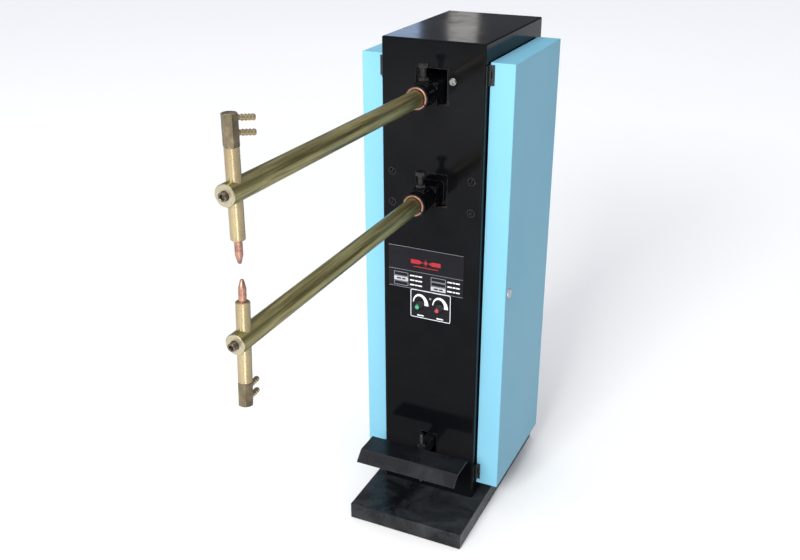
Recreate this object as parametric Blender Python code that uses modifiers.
"""Foot-pedal rocker-arm spot welder, in metres with +Z up.

The welder stands on the plane z = 0 and faces -Y. The origin is on that plane, under the middle of
the plinth. Most sizes below are given in the column's frame, which has the same axes and starts on
the floor under the middle of the column's front face.
"""

import math

import bmesh
import bpy
from mathutils import Matrix, Vector

# Clearances
GAP = 0.0003

# Plinth and column
PLINTH_WIDTH = 0.284
PLINTH_HEIGHT = 0.040
PLINTH_FRONT = -0.141
PLINTH_BACK = 0.377
PLINTH_WALL = 0.0025
COLUMN_WIDTH = 0.230
COLUMN_DEPTH = 0.360
COLUMN_TOP = 1.130
COLUMN_BOTTOM = PLINTH_HEIGHT + GAP
SHEET = 0.002
BEND = 0.0035
SIDE_OPENING = (0.032, 0.315, 0.092, 1.075)
WINDOW = 0.073
UPPER_WINDOW_BOTTOM = 1.000
LOWER_WINDOW_BOTTOM = 0.777
LEVER_SLOT = (0.040, 0.112, 0.198)

# Side doors, hinges and locks
DOOR_INNER = 0.1175
DOOR_OUTER = 0.171
DOOR_FRONT = 0.020
DOOR_BACK = 0.327
DOOR_BOTTOM = 0.076
DOOR_TOP = 1.091
DOOR_SHEET = 0.0015
DOOR_LIP = 0.0125
HINGE_AXIS = (0.1186, 0.0164)
HINGE_HEIGHT = 0.042
HINGE_BOTTOMS = {"top": 1.0445, "bottom": 0.089}
KNUCKLE_RADIUS = 0.003
HINGE_PIN_RADIUS = 0.0015
LEAF = 0.0013
LOCK_AXIS = (0.044, 0.5815)
LOCK_RADIUS = 0.006
LOCK_HEAD_RADIUS = 0.009
LOCK_REACH = 0.107
CAM_LENGTH = 0.026

# Arms and their clamps: each arm's frame has its axis along Y
ARM_RADIUS = 0.0175
CLAMP_RADIUS = 0.025
SLEEVE_RADIUS = 0.0226
SLEEVE_BORE = 0.0179
BLOCK_WIDTH = 0.050
BLOCK_HEIGHT = 0.048
PAD_TOP = 0.028
CLAMP_BOLT_RADIUS = 0.006
CLAMP_BOLT_TOP = 0.0635
BOLT_FLATS = 0.019
SLIT_WIDTH = 0.0025
SLIT_ANGLE = -30

PIVOT = (0.060, 1.0268)
UPPER_TILT = -0.65
UPPER_ARM_END = -0.800
UPPER_ARM_TAIL = -0.042
UPPER_CROSS = -0.7745
LOWER_AXIS_HEIGHT = 0.808
LOWER_TILT = 0.70
LOWER_ARM_END = -0.745
LOWER_ARM_TAIL = 0.010
LOWER_CROSS = -0.7203
LOWER_LEAN = -4.76
PIVOT_RADIUS = 0.0125

# Electrode holders and tips: the holder's frame has its axis along Z, its origin on the arm's axis
BARREL_RADIUS = 0.0115
HEX_FLATS = 0.0220
TIP_RADIUS = 0.0063
TIP_FLAT = 0.0018
TIP_CONE = 0.0140
TIP_SEAT = 0.018
UPPER_TIP_REACH = 0.0385
LOWER_TIP_REACH = 0.0358
UPPER_BARBS = {"radius": 0.0051, "reach": 0.0368, "ribs": 4, "azimuth": 49, "tilt": -4}
LOWER_BARBS = {"radius": 0.0048, "reach": 0.0345, "ribs": 4, "azimuth": 90, "tilt": 8}
UPPER_BARB_HEIGHTS = (0.1072, 0.0855)
LOWER_BARB_HEIGHTS = (-0.0875, -0.1075)
END_SCREW_RADIUS = 0.0070
UPPER_SCREW_PROUD = 0.0075
LOWER_SCREW_PROUD = 0.0105
UPPER_BARREL = (-0.0752, 0.0659)
UPPER_HEX_END = 0.1143
LOWER_BARREL = (0.0610, -0.0734)
LOWER_HEX_END = -0.1140

# Pedal, push rod and return spring
ROD_Y = 0.280
ROD_RADIUS = 0.008
ROCKER_REAR = ROD_Y - PIVOT[0]
ROCKER_STROKE = math.radians(1.75)
PEDAL_STROKE = math.radians(9.0)
PEDAL_REAR = ROCKER_REAR * ROCKER_STROKE / PEDAL_STROKE
PEDAL_PIVOT = (ROD_Y - PEDAL_REAR, 0.1715)
LEVER = 0.025
PEDAL_WIDTH = 0.246
PEDAL_FRONT = -0.118
PEDAL_BACK = -0.056
PEDAL_SHEET = 0.003
LINK_PIN_RADIUS = 0.005
FORK_INNER = 0.0083
FORK_OUTER = 0.014
SPRING_BOTTOM = 0.5663
SPRING_TOP = 0.6597
SPRING_RADIUS = 0.0145
SPRING_WIRE = 0.002
SPRING_TURNS = 7

# Controls
KNOBS = {"left_knob": -0.023, "right_knob": 0.025}
KNOB_HEIGHT = 0.537
BRACKET_SCREWS = ((-0.092, 0.843), (-0.092, 0.773), (0.092, 0.843), (0.092, 0.773))
PIVOT_BOLT = (0.0455, 1.049)
GLAND = (0.060, 0.140)

# Transformer
CORE = ((-0.055, 0.095, 0.4763), (0.055, 0.255, 0.7163))
LIMB = (0.148, 0.202)
COIL_OUTER = (0.084, 0.1165, 0.2335)
COIL_INNER = (0.0575, 0.1475, 0.2025)
LOOP_HEIGHTS = (0.600, 0.676)

COLOURS = {
    "black_paint": ((0.012, 0.012, 0.014), 0.18, 0.0),
    "blue_paint": ((0.30, 0.66, 0.78), 0.35, 0.0),
    "brass": ((0.52, 0.42, 0.22), 0.38, 1.0),
    "copper": ((0.72, 0.36, 0.22), 0.32, 1.0),
    "black_steel": ((0.03, 0.03, 0.035), 0.35, 0.8),
    "bright_steel": ((0.60, 0.60, 0.62), 0.28, 1.0),
    "core_steel": ((0.16, 0.17, 0.19), 0.55, 0.7),
    "insulation": ((0.28, 0.15, 0.07), 0.60, 0.0),
    "circuit_board": ((0.04, 0.22, 0.10), 0.50, 0.0),
    "black_plastic": ((0.02, 0.02, 0.02), 0.45, 0.0),
    "label": ((0.03, 0.03, 0.04), 0.40, 0.0),
}


def clear_scene():
    for obj in list(bpy.data.objects):
        bpy.data.objects.remove(obj, do_unlink=True)


def new_collection(name):
    collection = bpy.data.collections.new(name)
    bpy.context.scene.collection.children.link(collection)
    return collection


def make_material(name):
    colour, roughness, metallic = COLOURS[name]
    material = bpy.data.materials.new(name)
    material.use_nodes = True
    shader = material.node_tree.nodes["Principled BSDF"]
    shader.inputs["Base Color"].default_value = (*colour, 1.0)
    shader.inputs["Roughness"].default_value = roughness
    shader.inputs["Metallic"].default_value = metallic
    material.diffuse_color = (*colour, 1.0)
    return material


clear_scene()
PARTS = new_collection("spot_welder")
CUTTERS = new_collection("cutters")
MATERIALS = {name: make_material(name) for name in COLOURS}


# Frames -----------------------------------------------------------------------------------------


def frame(name, parent=None, at=(0, 0, 0), turn_x=0.0):
    """An empty that carries the pieces of one body, with its origin on that body's joint axis."""
    empty = bpy.data.objects.new(name, None)
    empty.empty_display_size = 0.03
    empty.location = at
    empty.rotation_euler = (math.radians(turn_x), 0, 0)
    empty.parent = parent
    PARTS.objects.link(empty)
    return empty


COLUMN = frame("column_frame", at=(0, -(PLINTH_FRONT + PLINTH_BACK) / 2, 0))
ROCKER = frame("rocker_frame", COLUMN, (0, *PIVOT), UPPER_TILT)
UPPER_ARM = frame("upper_arm_frame", ROCKER)
UPPER_ELECTRODE = frame("upper_electrode_frame", UPPER_ARM, (0, UPPER_CROSS, 0))
LOWER_CLAMP = frame("lower_clamp_frame", COLUMN, (0, 0, LOWER_AXIS_HEIGHT), LOWER_TILT)
LOWER_ARM = frame("lower_arm_frame", LOWER_CLAMP)
LOWER_ELECTRODE = frame("lower_electrode_frame", LOWER_ARM, (0, LOWER_CROSS, 0), LOWER_LEAN)
PEDAL = frame("pedal_frame", COLUMN, (0, *PEDAL_PIVOT))
ROD = frame("push_rod_frame", COLUMN, (0, ROD_Y, 0))


# Shapes -----------------------------------------------------------------------------------------


def place(bm, name, material, parent):
    """Closes a bmesh into an object. Without a material it is a helper, left out of the part."""
    mesh = bpy.data.meshes.new(name)
    bm.to_mesh(mesh)
    bm.free()
    obj = bpy.data.objects.new(name, mesh)
    obj.parent = parent
    if material is None:
        CUTTERS.objects.link(obj)
        obj.hide_render = True
        obj.display_type = "WIRE"
    else:
        PARTS.objects.link(obj)
        mesh.materials.append(MATERIALS[material])
    return obj


def box(name, low, high, parent, material=None, bevel=0.0, segments=2):
    """A block between two corners, given in any order, with its edges rounded by bevel."""
    low, high = Vector(low), Vector(high)
    middle, size = (low + high) / 2, high - low
    size = Vector([abs(side) for side in size])
    bm = bmesh.new()
    bmesh.ops.create_cube(bm, size=1, matrix=Matrix.Translation(middle) @ Matrix.Diagonal((*size, 1)))
    obj = place(bm, name, material, parent)
    if bevel:
        round_edges(obj, bevel, segments)
    return obj


def rod(name, start, end, radius, parent, material=None, sides=24, end_radius=None):
    """A cylinder, cone or prism between two points. Six sides make a hexagon with a flat towards X."""
    start, end = Vector(start), Vector(end)
    along = end - start
    turn = along.to_track_quat("Z", "Y").to_matrix().to_4x4()
    bm = bmesh.new()
    bmesh.ops.create_cone(
        bm,
        cap_ends=True,
        segments=sides,
        radius1=radius,
        radius2=radius if end_radius is None else end_radius,
        depth=along.length,
        matrix=Matrix.Translation((start + end) / 2) @ turn,
    )
    obj = place(bm, name, material, parent)
    if sides > 6:
        smooth(obj)
    return obj


def lathe(name, profile, parent, material=None, axis="Z", steps=24, at=(0, 0, 0)):
    """Turns (radius, height) points, listed from the top down, about an axis through at."""
    turns = {
        "Z": Matrix.Identity(4),
        "Y": Matrix.Rotation(math.radians(90), 4, "X"),
        "X": Matrix.Rotation(math.radians(90), 4, "Y"),
    }
    bm = bmesh.new()
    points = [bm.verts.new((radius, 0, height)) for radius, height in profile]
    for a, b in zip(points, points[1:]):
        bm.edges.new((a, b))
    obj = place(bm, name, material, parent)
    obj.matrix_local = Matrix.Translation(at) @ turns[axis]
    screw = obj.modifiers.new("Turn", "SCREW")
    screw.axis = "Z"
    screw.steps = screw.render_steps = steps
    screw.use_merge_vertices = True
    screw.merge_threshold = 0.00001
    screw.use_smooth_shade = True
    return obj


def ribbon(name, path, width, thickness, parent, material):
    """A sheet of the given width across X that follows (y, z) points, with its thickness centred."""
    bm = bmesh.new()
    rows = [
        [bm.verts.new((side * width / 2, y, z)) for side in (-1, 1)] for y, z in path
    ]
    for (a, b), (c, d) in zip(rows, rows[1:]):
        bm.faces.new((a, b, d, c))
    bmesh.ops.recalc_face_normals(bm, faces=bm.faces)
    obj = place(bm, name, material, parent)
    solidify = obj.modifiers.new("Thickness", "SOLIDIFY")
    solidify.thickness = thickness
    solidify.offset = 0
    solidify.use_even_offset = True
    return obj


def arc(centre, radius, start, end, steps):
    """Points on an arc, with angles in degrees from the first axis."""
    for i in range(steps + 1):
        angle = math.radians(start + (end - start) * i / steps)
        yield (centre[0] + radius * math.cos(angle), centre[1] + radius * math.sin(angle))


def smooth(obj):
    obj.data.shade_smooth()
    obj.data.set_sharp_from_angle(angle=math.radians(35))


def round_edges(obj, width, segments=2):
    bevel = obj.modifiers.new("Rounded edges", "BEVEL")
    bevel.width = width
    bevel.segments = segments
    bevel.limit_method = "ANGLE"
    bevel.angle_limit = math.radians(40)
    return obj


def combine(obj, others, operation):
    for other in others:
        modifier = obj.modifiers.new(other.name, "BOOLEAN")
        modifier.operation = operation
        modifier.solver = "EXACT"
        modifier.object = other
    return obj


def cut(obj, *cutters):
    return combine(obj, cutters, "DIFFERENCE")


def join(obj, *others):
    return combine(obj, others, "UNION")


def hexagon(name, start, end, flats, parent, material=None):
    """A hexagonal prism, sized across its flats."""
    return rod(name, start, end, flats / math.sqrt(3), parent, material, sides=6)


# Plinth and column ------------------------------------------------------------------------------


def plinth():
    half, wall = PLINTH_WIDTH / 2, PLINTH_WALL
    body = box(
        "base_plinth",
        (-half, PLINTH_FRONT, 0),
        (half, PLINTH_BACK, PLINTH_HEIGHT),
        COLUMN,
        "black_paint",
        bevel=0.002,
    )
    hollow = box(
        "plinth_hollow",
        (-half + wall, PLINTH_FRONT + wall, wall),
        (half - wall, PLINTH_BACK - wall, PLINTH_HEIGHT - wall),
        COLUMN,
    )
    drains = [
        rod(f"plinth_drain_{x:+.2f}_{y:+.2f}", (x, y, -0.01), (x, y, 0.01), 0.007, COLUMN)
        for x in (-0.11, 0.11)
        for y in (PLINTH_FRONT + 0.04, PLINTH_BACK - 0.04)
    ]
    return cut(body, hollow, *drains)


def window(name, bottom, depth=(-0.01, 0.01), margin=0.0):
    """A square cutter through the front panel, or through a plate behind it."""
    half = WINDOW / 2 + margin
    return box(
        name,
        (-half, depth[0], bottom - margin),
        (half, depth[1], bottom + WINDOW + margin),
        COLUMN,
    )


def column_shell():
    half = COLUMN_WIDTH / 2
    front, back, low, high = SIDE_OPENING
    slot_width, slot_low, slot_high = LEVER_SLOT
    body = box(
        "column_shell",
        (-half, 0, COLUMN_BOTTOM),
        (half, COLUMN_DEPTH, COLUMN_TOP),
        COLUMN,
        "black_paint",
        bevel=BEND,
        segments=3,
    )
    cutters = [
        box(
            "column_hollow",
            (-half + SHEET, SHEET, COLUMN_BOTTOM + SHEET),
            (half - SHEET, COLUMN_DEPTH - SHEET, COLUMN_TOP - SHEET),
            COLUMN,
        ),
        box("side_openings", (-0.2, front, low), (0.2, back, high), COLUMN),
        box("column_mouth", (-0.093, 0.022, 0.02), (0.093, 0.338, 0.05), COLUMN),
        window("upper_window", UPPER_WINDOW_BOTTOM),
        window("lower_window", LOWER_WINDOW_BOTTOM),
        box(
            "lever_slot",
            (-slot_width / 2, -0.01, slot_low),
            (slot_width / 2, 0.01, slot_high),
            COLUMN,
        ),
        rod(
            "gland_hole",
            (GLAND[0], COLUMN_DEPTH - 0.01, GLAND[1]),
            (GLAND[0], COLUMN_DEPTH + 0.01, GLAND[1]),
            0.0103,
            COLUMN,
        ),
        front_hole("pivot_bolt_hole", *PIVOT_BOLT, 0.0043),
    ]
    for name, x in KNOBS.items():
        cutters.append(front_hole(f"{name}_hole", x, KNOB_HEIGHT, 0.005))
    for i, (x, z) in enumerate(BRACKET_SCREWS):
        cutters.append(front_hole(f"screw_hole_{i + 1}", x, z, 0.0033))
    for i in range(8):
        z = 0.800 + 0.024 * i
        cutters.append(
            box(f"vent_{i + 1}", (-0.070, COLUMN_DEPTH - 0.01, z), (0.070, 0.37, z + 0.007), COLUMN)
        )
    return cut(body, *cutters)


def front_hole(name, x, z, radius, depth=0.03):
    return rod(name, (x, -0.01, z), (x, depth, z), radius, COLUMN, sides=16)


# Doors, hinges and locks ------------------------------------------------------------------------


def door_frame(side):
    return frame(f"{side_name(side)}_door_frame", COLUMN, (side * HINGE_AXIS[0], HINGE_AXIS[1], 0))


def side_name(side):
    return "right" if side > 0 else "left"


def in_door(side, x, y, z):
    """A point given in the column's frame for the right side, mirrored and moved into a door's frame."""
    return (side * (x - HINGE_AXIS[0]), y - HINGE_AXIS[1], z)


def door(side, parent):
    name = f"{side_name(side)}_door"
    wall, lip = DOOR_SHEET, DOOR_LIP
    body = box(
        name,
        in_door(side, DOOR_INNER, DOOR_FRONT, DOOR_BOTTOM),
        in_door(side, DOOR_OUTER, DOOR_BACK, DOOR_TOP),
        parent,
        "blue_paint",
        bevel=0.002,
    )
    hollow = box(
        f"{name}_hollow",
        in_door(side, DOOR_INNER + wall, DOOR_FRONT + wall, DOOR_BOTTOM + wall),
        in_door(side, DOOR_OUTER - wall, DOOR_BACK - wall, DOOR_TOP - wall),
        parent,
    )
    mouth = box(
        f"{name}_mouth",
        in_door(side, DOOR_INNER - 0.01, DOOR_FRONT + lip, DOOR_BOTTOM + lip),
        in_door(side, DOOR_INNER + 0.01, DOOR_BACK - lip, DOOR_TOP - lip),
        parent,
    )
    lock_hole = rod(
        f"{name}_lock_hole",
        in_door(side, DOOR_OUTER - 0.01, *LOCK_AXIS),
        in_door(side, DOOR_OUTER + 0.01, *LOCK_AXIS),
        LOCK_RADIUS + GAP,
        parent,
        sides=20,
    )
    return cut(body, hollow, mouth, lock_hole)


def hinge(side, end, door_parent):
    """A butt hinge: the column leaf with its two knuckles and the pin, and the door leaf with one."""
    name = f"{side_name(side)}_{end}_hinge"
    bottom = HINGE_BOTTOMS[end]
    third = HINGE_HEIGHT / 3
    axis_x, axis_y = HINGE_AXIS
    near = COLUMN_WIDTH / 2 + GAP

    def knuckle(label, low, high, radius, parent, point):
        return rod(label, point(axis_x, axis_y, low), point(axis_x, axis_y, high), radius, parent, sides=16)

    def on_column(x, y, z):
        return (side * x, y, z)

    def on_door(x, y, z):
        return in_door(side, x, y, z)

    column_leaf = box(
        f"{name}_column_leaf",
        on_column(near, 0.0035, bottom),
        on_column(near + LEAF, 0.0126, bottom + HINGE_HEIGHT),
        COLUMN,
        "black_steel",
    )
    extras = []
    for i, low in enumerate((bottom, bottom + 2 * third)):
        high = low + third - GAP if i == 0 else low + third
        low = low if i == 0 else low + GAP
        extras.append(knuckle(f"{name}_knuckle_{i}", low, high, KNUCKLE_RADIUS, COLUMN, on_column))
        extras.append(
            box(
                f"{name}_tongue_{i}",
                on_column(near, 0.0120, low),
                on_column(near + LEAF, axis_y, high),
                COLUMN,
            )
        )
    extras.append(
        knuckle(
            f"{name}_pin", bottom + 0.001, bottom + HINGE_HEIGHT - 0.001, HINGE_PIN_RADIUS, COLUMN,
            on_column,
        )
    )
    join(column_leaf, *extras)

    leaf_y = DOOR_FRONT - GAP
    door_leaf = box(
        f"{name}_door_leaf",
        on_door(axis_x + KNUCKLE_RADIUS + GAP, leaf_y - LEAF, bottom),
        on_door(0.1275, leaf_y, bottom + HINGE_HEIGHT),
        door_parent,
        "black_steel",
    )
    middle = (bottom + third + GAP, bottom + 2 * third - GAP)
    join(
        door_leaf,
        box(
            f"{name}_door_tongue",
            on_door(axis_x, leaf_y - LEAF, middle[0]),
            on_door(axis_x + 0.0050, leaf_y, middle[1]),
            door_parent,
        ),
        knuckle(f"{name}_door_knuckle", *middle, KNUCKLE_RADIUS, door_parent, on_door),
    )
    bore = knuckle(
        f"{name}_door_bore", middle[0] - 0.01, middle[1] + 0.01, HINGE_PIN_RADIUS + GAP, door_parent,
        on_door,
    )
    cut(door_leaf, bore)


def lock(side, door_parent):
    """A quarter-turn cam lock. The cam stands up at rest, and points to the front when it is locked."""
    name = f"{side_name(side)}_lock_cam"
    y, z = LOCK_AXIS
    parent = frame(f"{name}_frame", door_parent, in_door(side, 0, y, z))

    def point(x, dy=0.0, dz=0.0):
        return (side * x, dy, dz)

    seat = point(DOOR_OUTER + GAP)
    plug = rod(name, point(LOCK_REACH), seat, LOCK_RADIUS, parent, "bright_steel", sides=20)
    head = rod(f"{name}_head", seat, point(DOOR_OUTER + 0.0028), LOCK_HEAD_RADIUS, parent, sides=20)
    cam = box(
        f"{name}_plate",
        point(LOCK_REACH - 0.0015, -0.007, -0.008),
        point(LOCK_REACH + 0.0015, 0.007, CAM_LENGTH),
        parent,
    )
    key_slot = box(
        f"{name}_key_slot",
        point(DOOR_OUTER + 0.001, -0.0008, -0.005),
        point(DOOR_OUTER + 0.005, 0.0008, 0.005),
        parent,
    )
    join(plug, head, cam)
    cut(plug, key_slot)


def doors():
    for side in (-1, 1):
        parent = door_frame(side)
        door(side, parent)
        for end in HINGE_BOTTOMS:
            hinge(side, end, parent)
        lock(side, parent)


# Arms, clamps and electrodes --------------------------------------------------------------------


def slit(name, start, end, inner, outer, parent, width):
    """A cutter for the slit that runs along a clamp or a sleeve, at SLIT_ANGLE round the bore."""
    obj = box(name, (inner, start, -width / 2), (outer, end, width / 2), parent)
    obj.rotation_euler = (0, -math.radians(SLIT_ANGLE), 0)
    return obj


def clamp_shapes(prefix, front, back, bolt, parent):
    """The round clamp, with a flat pad for its set bolt: the shapes to add and those to cut."""
    tube = rod(f"{prefix}_clamp_tube", (0, front, 0), (0, back + 0.001, 0), CLAMP_RADIUS, parent, sides=32)
    pad = box(
        f"{prefix}_clamp_pad",
        (-0.014, bolt - 0.014, 0.010),
        (0.014, min(bolt + 0.014, back), PAD_TOP),
        parent,
        bevel=0.0015,
        segments=1,
    )
    tapped = rod(
        f"{prefix}_tapped_hole", (0, bolt, 0.015), (0, bolt, PAD_TOP + 0.01), CLAMP_BOLT_RADIUS + GAP, parent,
        sides=16,
    )
    gap = slit(f"{prefix}_clamp_slit", front - 0.01, back - 0.006, 0.015, 0.030, parent, 0.003)
    return [tube, pad], [tapped, gap]


def sleeve(name, front, back, parent):
    """A split copper sleeve between clamp and arm, countersunk at its front."""
    length = back - front
    profile = [
        (SLEEVE_RADIUS, 0),
        (SLEEVE_RADIUS, -length),
        (SLEEVE_BORE, -length),
        (SLEEVE_BORE, -0.0016),
        (SLEEVE_BORE + 0.0016, 0),
        (SLEEVE_RADIUS, 0),
    ]
    body = lathe(name, profile, parent, "copper", axis="Y", steps=32, at=(0, front, 0))
    return cut(body, slit(f"{name}_slit", front - 0.01, back + 0.01, 0.010, 0.030, parent, SLIT_WIDTH))


def clamp_bolt(name, at, parent):
    """The hexagon set bolt that presses on the sleeve, with its lock nut on the clamp's pad."""
    shank_end = SLEEVE_RADIUS + GAP
    body = rod(name, (0, at, shank_end), (0, at, CLAMP_BOLT_TOP - 0.004), CLAMP_BOLT_RADIUS, parent,
               "black_steel", sides=16)
    top = (0, at, CLAMP_BOLT_TOP)
    head = hexagon(f"{name}_head", (0, at, CLAMP_BOLT_TOP - 0.008), top, BOLT_FLATS, parent)
    nut = hexagon(f"{name}_nut", (0, at, PAD_TOP + GAP), (0, at, PAD_TOP + 0.007), BOLT_FLATS, parent)
    return join(body, head, nut)


def arm(name, end, tail, cross, lean, parent):
    """A solid round arm, with a cross hole for the holder and a tapped hole in its front end."""
    chamfer = 0.001
    length = tail - end
    profile = [
        (0, 0),
        (ARM_RADIUS - chamfer, 0),
        (ARM_RADIUS, -chamfer),
        (ARM_RADIUS, -length + chamfer),
        (ARM_RADIUS - chamfer, -length),
        (0, -length),
    ]
    body = lathe(name, profile, parent, "brass", axis="Y", steps=32, at=(0, end, 0))
    cross_hole = rod(
        f"{name}_cross_hole", (0, 0, -0.03), (0, 0, 0.03), BARREL_RADIUS + GAP, parent, sides=28
    )
    cross_hole.location = (0, cross, 0)
    cross_hole.rotation_euler = (math.radians(lean), 0, 0)
    end_hole = rod(f"{name}_end_hole", (0, end - 0.01, 0), (0, cross, 0), END_SCREW_RADIUS + GAP, parent)
    return cut(body, cross_hole, end_hole)


def end_screw(name, end, proud, cross, parent):
    """The socket screw that clamps the holder in its cross hole."""
    body = rod(
        name, (0, end - proud, 0), (0, cross - BARREL_RADIUS - 2 * GAP, 0), END_SCREW_RADIUS, parent,
        "black_steel", sides=20,
    )
    mouth = (0, end - proud - 0.01, 0)
    socket = hexagon(f"{name}_socket", mouth, (0, end - proud + 0.006, 0), 0.008, parent)
    return cut(body, socket)


def barb(name, height, parent, radius, reach, ribs, azimuth, tilt):
    """A hose barb: a tube with ribs towards its end, brazed into the hexagon."""
    root, step, core = 0.008, 0.0052, 0.82 * radius
    profile = [(0, 0), (0.6 * radius, 0), (core, -0.0006)]
    for i in range(ribs):
        top = -0.0006 - i * step
        profile += [(radius, top - 0.0028), (radius, top - 0.0035), (core, top - 0.0041)]
        if i < ribs - 1:
            profile.append((core, top - step))
    profile += [(core, root - reach), (0, root - reach)]
    body = lathe(name, profile, parent, steps=12)
    turn = Matrix.Rotation(math.radians(azimuth), 4, "Z") @ Matrix.Rotation(math.radians(90 - tilt), 4, "Y")
    body.matrix_local = Matrix.Translation((0, 0, height)) @ turn @ Matrix.Translation((0, 0, reach))
    return body


def holder(name, barrel, hex_end, barb_heights, barbs, parent):
    """A turned barrel that ends in a hexagonal water head, with hose barbs on one of its flats."""
    tip_end, hex_start = barrel
    outward = 1 if hex_end > hex_start else -1
    barrel_end = (0, 0, hex_start + outward * 0.005)
    body = rod(name, (0, 0, tip_end), barrel_end, BARREL_RADIUS, parent, "brass", sides=28)
    head = hexagon(f"{name}_hexagon", (0, 0, hex_start), (0, 0, hex_end), HEX_FLATS, parent)
    head.rotation_euler = (0, 0, math.radians(barbs["azimuth"]))
    corner = HEX_FLATS / math.sqrt(3)
    low, high = sorted((hex_start, hex_end))
    turned = [
        (0, high + 0.0005),
        (corner - 0.0035, high + 0.0005),
        (corner + 0.0004, high - 0.0030),
        (corner + 0.0004, low + 0.0030),
        (corner - 0.0035, low - 0.0005),
        (0, low - 0.0005),
    ]
    envelope = lathe(f"{name}_turned_ends", turned, parent, steps=28)
    combine(head, [envelope], "INTERSECT")
    pipes = [
        barb(f"{name}_barb_{i + 1}", height, parent, **barbs) for i, height in enumerate(barb_heights)
    ]
    seat = rod(
        f"{name}_tip_seat", (0, 0, tip_end - outward * 0.01), (0, 0, tip_end + outward * 0.020),
        TIP_RADIUS + GAP, parent,
    )
    join(body, head, *pipes)
    return cut(body, seat)


def tip(name, seat, reach, parent):
    """A pointed tip. seat is its end in the holder, and reach the point that it welds with."""
    towards = 1 if reach < seat else -1
    cone = [
        (TIP_FLAT, reach),
        (TIP_FLAT + 0.0011, reach + towards * 0.0012),
        (TIP_RADIUS, reach + towards * TIP_CONE),
    ]
    profile = [(0, reach), *cone, (TIP_RADIUS, seat), (0, seat)]
    if towards > 0:
        profile.reverse()
    return lathe(name, profile, parent, "copper", steps=24)


def upper_side():
    front, back = -0.1405, -0.090
    bolt = -0.1045
    body = box(
        "rocker_beam",
        (-BLOCK_WIDTH / 2, back, -BLOCK_HEIGHT / 2),
        (BLOCK_WIDTH / 2, 0.030, BLOCK_HEIGHT / 2),
        ROCKER,
        "black_paint",
        bevel=0.002,
        segments=1,
    )
    adds, cuts = clamp_shapes("rocker", front, back, bolt, ROCKER)
    adds += [
        box("rocker_tail", (-0.014, 0.029, -0.020), (0.014, 0.205, 0.020), ROCKER, bevel=0.0015, segments=1),
        box("rocker_tongue", (-0.008, 0.204, -0.0138), (0.008, ROCKER_REAR, 0.0138), ROCKER),
        rod("rocker_eye", (-0.008, ROCKER_REAR, 0), (0.008, ROCKER_REAR, 0), 0.0138, ROCKER),
    ]
    cuts += [
        rod("rocker_bore", (0, front - 0.01, 0), (0, -0.038, 0), SLEEVE_RADIUS + GAP, ROCKER, sides=32),
        rod("rocker_pivot_bore", (-0.04, 0, 0), (0.04, 0, 0), PIVOT_RADIUS + GAP, ROCKER),
        rod("rocker_pin_bore", (-0.02, ROCKER_REAR, 0), (0.02, ROCKER_REAR, 0), LINK_PIN_RADIUS + GAP, ROCKER,
            sides=16),
    ]
    join(body, *adds)
    cut(body, *cuts)
    rod("upper_link_pin", (-0.0165, ROCKER_REAR, 0), (0.0165, ROCKER_REAR, 0), LINK_PIN_RADIUS, ROCKER,
        "bright_steel", sides=16)
    sleeve("upper_sleeve", front - 0.0015, -0.045, ROCKER)
    clamp_bolt("upper_clamp_bolt", bolt, ROCKER)
    arm("upper_arm", UPPER_ARM_END, UPPER_ARM_TAIL, UPPER_CROSS, 0, UPPER_ARM)
    end_screw("upper_end_screw", UPPER_ARM_END, UPPER_SCREW_PROUD, UPPER_CROSS, UPPER_ARM)
    holder("upper_holder", UPPER_BARREL, UPPER_HEX_END, UPPER_BARB_HEIGHTS, UPPER_BARBS, UPPER_ELECTRODE)
    tip("upper_tip", UPPER_BARREL[0] + TIP_SEAT, UPPER_BARREL[0] - UPPER_TIP_REACH, UPPER_ELECTRODE)


def lower_side():
    front, back = -0.0925, -0.030
    bolt = -0.056
    body = box(
        "lower_clamp_block",
        (-BLOCK_WIDTH / 2, back, -BLOCK_HEIGHT / 2),
        (BLOCK_WIDTH / 2, 0.060, BLOCK_HEIGHT / 2),
        LOWER_CLAMP,
        "black_paint",
        bevel=0.002,
        segments=1,
    )
    adds, cuts = clamp_shapes("lower", front, back, bolt, LOWER_CLAMP)
    adds.append(box("lower_bracket_plate", (-0.105, 0.0083, 0.758), (0.105, 0.0203, 0.858), COLUMN))
    cuts.append(
        rod("lower_bore", (0, front - 0.01, 0), (0, 0.012, 0), SLEEVE_RADIUS + GAP, LOWER_CLAMP, sides=32)
    )
    for i, (x, z) in enumerate(BRACKET_SCREWS):
        cuts.append(front_hole(f"bracket_hole_{i + 1}", x, z, 0.0033))
    join(body, *adds)
    cut(body, *cuts)

    sheet = box("insulation_plate", (-0.105, 0.0023, 0.758), (0.105, 0.0080, 0.858), COLUMN, "insulation")
    cut(
        sheet,
        window("insulation_window", LOWER_WINDOW_BOTTOM, margin=0.0005),
        *[front_hole(f"insulation_hole_{i + 1}", x, z, 0.0033) for i, (x, z) in enumerate(BRACKET_SCREWS)],
    )
    sleeve("lower_sleeve", front - 0.0015, 0.008, LOWER_CLAMP)
    clamp_bolt("lower_clamp_bolt", bolt, LOWER_CLAMP)
    arm("lower_arm", LOWER_ARM_END, LOWER_ARM_TAIL, LOWER_CROSS, LOWER_LEAN, LOWER_ARM)
    end_screw("lower_end_screw", LOWER_ARM_END, LOWER_SCREW_PROUD, LOWER_CROSS, LOWER_ARM)
    holder("lower_holder", LOWER_BARREL, LOWER_HEX_END, LOWER_BARB_HEIGHTS, LOWER_BARBS, LOWER_ELECTRODE)
    tip("lower_tip", LOWER_BARREL[0] - TIP_SEAT, LOWER_BARREL[0] + LOWER_TIP_REACH, LOWER_ELECTRODE)


# Pivot of the rocker ----------------------------------------------------------------------------


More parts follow.
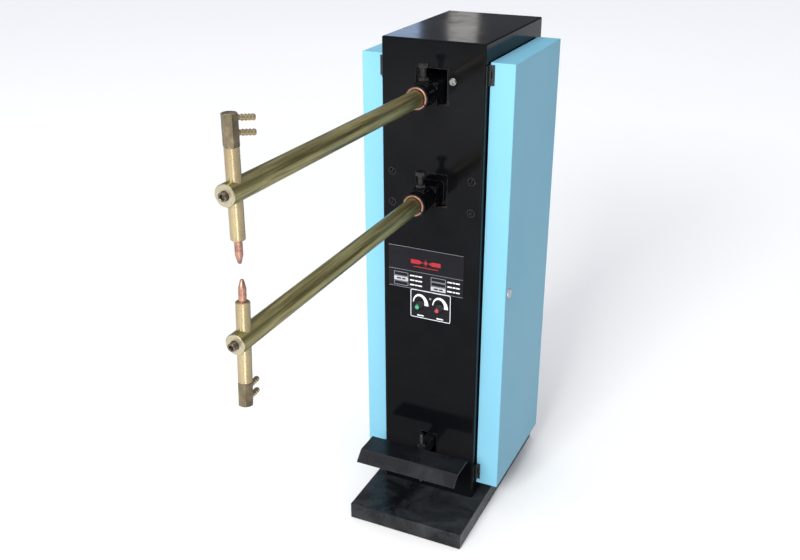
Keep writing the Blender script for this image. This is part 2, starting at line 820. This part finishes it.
def pivot():
    pivot_y, pivot_z = PIVOT
    bracket = box("pivot_bracket", (-0.060, 0.0023, 0.985), (0.060, 0.0083, 1.085), COLUMN, "black_paint")
    cheeks = [
        box(f"pivot_cheek_{side}", (side * 0.030, 0.0080, 1.006), (side * 0.036, 0.095, 1.066), COLUMN)
        for side in (-1, 1)
    ]
    join(bracket, *cheeks)
    cut(
        bracket,
        window("bracket_window", UPPER_WINDOW_BOTTOM, depth=(-0.01, 0.0081), margin=0.0005),
        box("bracket_throat", (-0.0298, -0.01, 0.995), (0.0298, 0.02, 1.075), COLUMN),
        rod("bush_bores", (-0.05, pivot_y, pivot_z), (0.05, pivot_y, pivot_z), 0.0170 + GAP, COLUMN),
        front_hole("bracket_bolt_hole", *PIVOT_BOLT, 0.0043),
    )
    shaft_end = (0.046, pivot_y, pivot_z)
    rod("pivot_shaft", (-0.046, pivot_y, pivot_z), shaft_end, PIVOT_RADIUS, COLUMN, "bright_steel")
    inner, flange, body = PIVOT_RADIUS + GAP, 0.021, 0.0170
    for side in (-1, 1):
        profile = [(body, 0.0385), (body, 0.0297), (flange, 0.0297), (flange, 0.0257), (inner, 0.0257),
                   (inner, 0.0385), (body, 0.0385)]
        if side < 0:
            profile = [(radius, -height) for radius, height in reversed(profile)]
        lathe(
            f"{side_name(side)}_pivot_bush", profile, COLUMN, "insulation", axis="X",
            at=(0, pivot_y, pivot_z),
        )
    x, z = PIVOT_BOLT
    bolt = rod("pivot_bracket_bolt", (x, -0.002, z), (x, 0.022, z), 0.004, COLUMN, "bright_steel", sides=12)
    join(
        bolt,
        rod("pivot_bolt_head", (x, -0.0045, z), (x, -GAP, z), 0.0065, COLUMN, sides=16, end_radius=0.0075),
        hexagon("pivot_bolt_nut", (x, 0.0086, z), (x, 0.0150, z), 0.013, COLUMN),
    )


def bracket_screws():
    """Four domed screws that hold the lower clamp block, its insulation and the front panel."""
    for i, (x, z) in enumerate(BRACKET_SCREWS):
        profile = [(0, 0.0042), *arc_profile(0.0072, 0.0039), (0.003, GAP), (0.003, -0.024), (0, -0.024)]
        lathe(
            f"bracket_screw_{i + 1}", profile, COLUMN, "bright_steel", axis="Y", steps=16, at=(x, 0, z)
        )


def arc_profile(radius, rise):
    """The domed side of a screw's head, from the top down."""
    for angle in (60, 30, 0):
        turn = math.radians(angle)
        yield (radius * math.cos(turn), GAP + rise * math.sin(turn))


# Pedal, push rod, spring and limit switch -------------------------------------------------------


def pedal():
    pivot_y = PEDAL_PIVOT[0]
    half = LEVER / 2
    lever = box(
        "pedal_lever",
        (-half, -0.112 - pivot_y, -half),
        (half, 0.028, half),
        PEDAL,
        "black_paint",
        bevel=0.002,
    )
    stop_y = -0.042 - pivot_y
    join(
        lever,
        box("lever_tongue", (-0.008, 0.027, -0.0105), (0.008, PEDAL_REAR, 0.0105), PEDAL),
        rod("lever_eye", (-0.008, PEDAL_REAR, 0), (0.008, PEDAL_REAR, 0), 0.0105, PEDAL),
    )
    cut(
        lever,
        rod("lever_pivot_bore", (-0.03, 0, 0), (0.03, 0, 0), 0.0083, PEDAL),
        rod("lever_pin_bore", (-0.03, PEDAL_REAR, 0), (0.03, PEDAL_REAR, 0), LINK_PIN_RADIUS + GAP, PEDAL,
            sides=16),
        rod("lever_stop_bore", (0, stop_y, -0.03), (0, stop_y, 0.03), 0.0053, PEDAL, sides=16),
    )
    rod("lower_link_pin", (-0.0165, PEDAL_REAR, 0), (0.0165, PEDAL_REAR, 0), LINK_PIN_RADIUS, PEDAL,
        "bright_steel", sides=16)

    top = half + GAP + PEDAL_SHEET / 2
    bend = [
        (PEDAL_BACK - pivot_y, top),
        (PEDAL_FRONT + 0.004 - pivot_y, top),
        (PEDAL_FRONT - 0.0005 - pivot_y, top - 0.0020),
        (PEDAL_FRONT - 0.0210 - pivot_y, top - 0.0215),
    ]
    ribbon("pedal_plate", bend, PEDAL_WIDTH, PEDAL_SHEET, PEDAL, "black_paint")

    stop = rod("stop_bolt", (0, stop_y, -0.085), (0, stop_y, 0.048), 0.005, PEDAL, "black_steel", sides=16)
    join(
        stop,
        hexagon("stop_nut_top", (0, stop_y, half + GAP), (0, stop_y, half + 0.0085), 0.017, PEDAL),
        hexagon("stop_nut_bottom", (0, stop_y, -half - 0.0085), (0, stop_y, -half - GAP), 0.017, PEDAL),
    )

    foot = (-0.045, 0.205, COLUMN_BOTTOM)
    base = box("pedal_bracket", foot, (0.045, 0.262, 0.0463), COLUMN, "black_steel")
    join(
        base,
        *[
            box(f"pedal_cheek_{side}", (side * 0.013, 0.216, 0.045), (side * 0.019, 0.258, 0.190), COLUMN)
            for side in (-1, 1)
        ],
    )
    cut(base, rod("pedal_cheek_bores", (-0.03, *PEDAL_PIVOT), (0.03, *PEDAL_PIVOT), 0.0083, COLUMN))
    pin_end = (0.024, *PEDAL_PIVOT)
    pin = rod("pedal_pivot_pin", (-0.021, *PEDAL_PIVOT), pin_end, 0.008, COLUMN, "bright_steel")
    join(pin, rod("pedal_pin_head", (-0.024, *PEDAL_PIVOT), (-0.0195, *PEDAL_PIVOT), 0.011, COLUMN))


def fork(name, low, high, bridge_low, bridge_high):
    """A fork at one end of the push rod: two cheeks and the bridge that carries them."""
    depth = 0.012
    cheeks = [
        box(f"{name}_cheek_{side}", (side * FORK_INNER, -depth, low), (side * FORK_OUTER, depth, high), ROD)
        for side in (-1, 1)
    ]
    return [
        *cheeks,
        box(f"{name}_bridge", (-FORK_OUTER, -depth, bridge_low), (FORK_OUTER, depth, bridge_high), ROD),
    ]


def push_rod():
    tilt = math.radians(UPPER_TILT)
    upper_pin_z = PIVOT[1] + ROCKER_REAR * math.sin(tilt)
    lower_pin_z = PEDAL_PIVOT[1]
    body = rod("push_rod", (0, 0, 0.200), (0, 0, 1.000), ROD_RADIUS, ROD, "bright_steel")
    join(
        body,
        *fork("upper_fork", 0.994, 1.0380, 0.992, 1.003),
        *fork("lower_fork", 0.1570, 0.206, 0.197, 0.208),
        rod("spring_collar", (0, 0, 0.560), (0, 0, SPRING_BOTTOM - GAP), 0.018, ROD),
        box("switch_striker", (0.004, -0.010, 0.305), (0.046, 0.010, 0.310), ROD),
    )
    cut(
        body,
        rod(
            "upper_fork_bore", (-0.03, 0, upper_pin_z), (0.03, 0, upper_pin_z), LINK_PIN_RADIUS + 2 * GAP, ROD,
            sides=20
        ),
        rod(
            "lower_fork_bore", (-0.03, 0, lower_pin_z), (0.03, 0, lower_pin_z), LINK_PIN_RADIUS + 4 * GAP, ROD,
            sides=20
        ),
    )


def return_spring():
    """A coil spring on the push rod, between the rod's collar and the guide, with flattened ends."""
    points = []
    per_turn = 12
    usable = SPRING_TOP - SPRING_BOTTOM - 2 * SPRING_WIRE
    for i in range(SPRING_TURNS * per_turn + 1):
        turn = i / per_turn
        dead = 0.8
        share = min(max((turn - dead) / (SPRING_TURNS - 2 * dead), 0), 1)
        flat = 2.1 * SPRING_WIRE * min(turn, dead) / dead
        tail = 2.1 * SPRING_WIRE * max(turn - SPRING_TURNS + dead, 0) / dead
        rise = flat + tail + share * (usable - 4.2 * SPRING_WIRE)
        angle = 2 * math.pi * turn
        height = SPRING_BOTTOM + SPRING_WIRE + rise
        points.append((SPRING_RADIUS * math.cos(angle), SPRING_RADIUS * math.sin(angle), height))
    curve = bpy.data.curves.new("return_spring", "CURVE")
    curve.dimensions = "3D"
    spline = curve.splines.new("POLY")
    spline.points.add(len(points) - 1)
    for point, co in zip(spline.points, points):
        point.co = (*co, 1)
    curve.bevel_depth = SPRING_WIRE
    curve.bevel_resolution = 1
    curve.use_fill_caps = True
    curve.materials.append(MATERIALS["bright_steel"])
    spring = bpy.data.objects.new("return_spring", curve)
    spring.parent = ROD
    PARTS.objects.link(spring)


def rod_guide():
    wall = COLUMN_DEPTH - SHEET - GAP
    guide = box("rod_guide", (-0.040, 0.262, 0.660), (0.040, wall, 0.668), COLUMN, "black_steel")
    join(guide, box("rod_guide_foot", (-0.040, wall - 0.006, 0.625), (0.040, wall, 0.700), COLUMN))
    cut(guide, rod("rod_guide_bore", (0, ROD_Y, 0.65), (0, ROD_Y, 0.68), ROD_RADIUS + 2 * GAP, COLUMN))


def limit_switch():
    wall = COLUMN_DEPTH - SHEET - GAP
    switch = box("limit_switch", (0.024, 0.264, 0.3280), (0.052, 0.296, 0.380), COLUMN, "black_plastic",
                 bevel=0.0015, segments=1)
    join(switch, box("limit_switch_arm", (0.030, 0.294, 0.345), (0.044, wall, 0.365), COLUMN))
    x, y = 0.038, ROD_Y
    cut(switch, rod("plunger_bore", (x, y, 0.32), (x, y, 0.372), 0.0043, COLUMN, sides=16))
    parent = frame("limit_plunger_frame", COLUMN, (x, y, 0.310))
    rod("limit_plunger", (0, 0, GAP), (0, 0, 0.050), 0.004, parent, "bright_steel", sides=16)


# Transformer and shunt --------------------------------------------------------------------------


def ring(name, heights, material):
    """A rectangular turn round the core's middle limb."""
    outer_x, outer_front, outer_back = COIL_OUTER
    inner_x, inner_front, inner_back = COIL_INNER
    low, high = heights
    body = box(name, (-outer_x, outer_front, low), (outer_x, outer_back, high), COLUMN, material,
               bevel=0.010, segments=2)
    beyond = (inner_x, inner_back, high + 0.02)
    hole = box(f"{name}_hole", (-inner_x, inner_front, low - 0.02), beyond, COLUMN)
    return cut(body, hole)


def transformer():
    front, bottom = CORE[0][1:]
    back, top = CORE[1][1:]
    core = box("transformer_core", CORE[0], CORE[1], COLUMN, "core_steel")
    yoke = 0.035
    limb_front, limb_back = LIMB
    cut(
        core,
        box("front_core_window", (-0.1, front + 0.020, bottom + yoke), (0.1, limb_front, top - yoke),
            COLUMN),
        box("back_core_window", (-0.1, limb_back, bottom + yoke), (0.1, back - 0.020, top - yoke),
            COLUMN),
    )
    ring("primary_coil", (0.5145, 0.592), "insulation")

    low, high = LOOP_HEIGHTS
    loop = ring("secondary_loop", LOOP_HEIGHTS, "copper")
    cut(loop, box("loop_gap", (-0.004, 0.10, low - 0.01), (0.004, 0.148, high + 0.01), COLUMN))
    join(
        loop,
        box("lower_lead", (0.060, 0.0625, low), (0.084, 0.130, high), COLUMN),
        box("lower_riser", (0.060, 0.0625, low), (0.084, 0.0745, 0.826), COLUMN),
        box("lower_terminal", (-0.022, 0.0625, 0.788), (0.084, 0.0745, 0.826), COLUMN),
        box("upper_lead", (-0.084, 0.084, low), (-0.060, 0.130, high), COLUMN),
        box("upper_riser", (-0.084, 0.084, low), (-0.060, 0.096, 0.885), COLUMN),
        box("upper_terminal", (-0.084, 0.084, 0.845), (0.028, 0.096, 0.885), COLUMN),
    )

    wall = COLUMN_DEPTH - SHEET - GAP
    near = (-0.100, SHEET + GAP, 0.470)
    shelf = box("transformer_shelf", near, (0.100, wall, 0.476), COLUMN, "black_paint")
    join(
        shelf,
        box("shelf_front_foot", (-0.100, SHEET + GAP, 0.435), (0.100, 0.0083, 0.472), COLUMN),
        box("shelf_back_foot", (-0.100, wall - 0.006, 0.435), (0.100, wall, 0.472), COLUMN),
    )
    cut(shelf, rod("shelf_rod_hole", (0, ROD_Y, 0.46), (0, ROD_Y, 0.48), 0.013, COLUMN))


def upper_shunt():
    """The flexible copper strip from the transformer's upper terminal to the rocker's underside."""
    route = [
        (0.052, 0.9990),
        *arc((0.0300, 0.9855), 0.0135, 90, 180, 5),
        (0.0165, 0.9600),
        *arc((0.0465, 0.9450), 0.0300, 180, 240, 4),
        (0.0540, 0.9060),
        *arc((0.0505, 0.8760), 0.0300, 65, 0, 5),
        (0.0805, 0.8480),
    ]
    ribbon("upper_shunt", route, 0.056, 0.006, COLUMN, "copper")


# Controls and inlet -----------------------------------------------------------------------------


def controls():
    label = box("label_plate", (-0.102, -0.0011, 0.570), (0.080, -GAP, 0.672), COLUMN, "label")
    join(label, box("label_lower", (-0.048, -0.0011, 0.501), (0.051, -GAP, 0.575), COLUMN))
    cut(label, *[front_hole(f"{name}_label_hole", x, KNOB_HEIGHT, 0.005) for name, x in KNOBS.items()])

    board = box("control_board", (-0.075, 0.0300, 0.500), (0.075, 0.0316, 0.660), COLUMN, "circuit_board")
    extras = [box("heat_sink", (-0.050, 0.0310, 0.590), (0.050, 0.0560, 0.645), COLUMN)]
    for name, x in KNOBS.items():
        behind, before = (x, 0.015, KNOB_HEIGHT), (x, 0.014, KNOB_HEIGHT)
        extras.append(rod(f"{name}_pot", before, (x, 0.031, KNOB_HEIGHT), 0.008, COLUMN, sides=16))
        extras.append(rod(f"{name}_shaft", (x, -0.018, KNOB_HEIGHT), behind, 0.003, COLUMN, sides=12))
    for x in (-0.068, 0.068):
        for z in (0.508, 0.652):
            near = (x, SHEET + GAP, z)
            extras.append(rod(f"spacer_{x}_{z}", near, (x, 0.031, z), 0.003, COLUMN, sides=8))
    join(board, *extras)

    for name, x in KNOBS.items():
        parent = frame(f"{name}_frame", COLUMN, (x, 0, KNOB_HEIGHT))
        profile = [
            (0, 0.0225),
            (0.0048, 0.0225),
            (0.0060, 0.0215),
            (0.0068, 0.0080),
            (0.0082, 0.0070),
            (0.0084, 0.0020),
            (0.0033, 0.0020),
            (0.0033, 0.0185),
            (0, 0.0185),
        ]
        lathe(name, profile, parent, "black_plastic", axis="Y", steps=20)


def cable_gland():
    x, z = GLAND
    face = COLUMN_DEPTH
    profile = [
        (0.0100, 0.020),
        (0.0100, GAP),
        (0.0150, GAP),
        (0.0150, -0.0065),
        (0.0125, -0.0075),
        (0.0125, -0.0170),
        (0.0100, -0.0215),
        (0.0055, -0.0215),
        (0.0055, -0.0130),
        (0, -0.0130),
    ]
    clear = [(radius, height - 2 * GAP if height <= GAP else height) for radius, height in profile]
    profile = [(0, 0.020), *clear]
    body = lathe("cable_gland", profile, COLUMN, "black_plastic", axis="Y", steps=20, at=(x, face, z))
    join(body, hexagon("gland_nut", (x, face - 0.009, z), (x, face - SHEET - GAP, z), 0.026, COLUMN))


plinth()
column_shell()
doors()
upper_side()
lower_side()
pivot()
bracket_screws()
pedal()
push_rod()
return_spring()
rod_guide()
limit_switch()
transformer()
upper_shunt()
controls()
cable_gland()
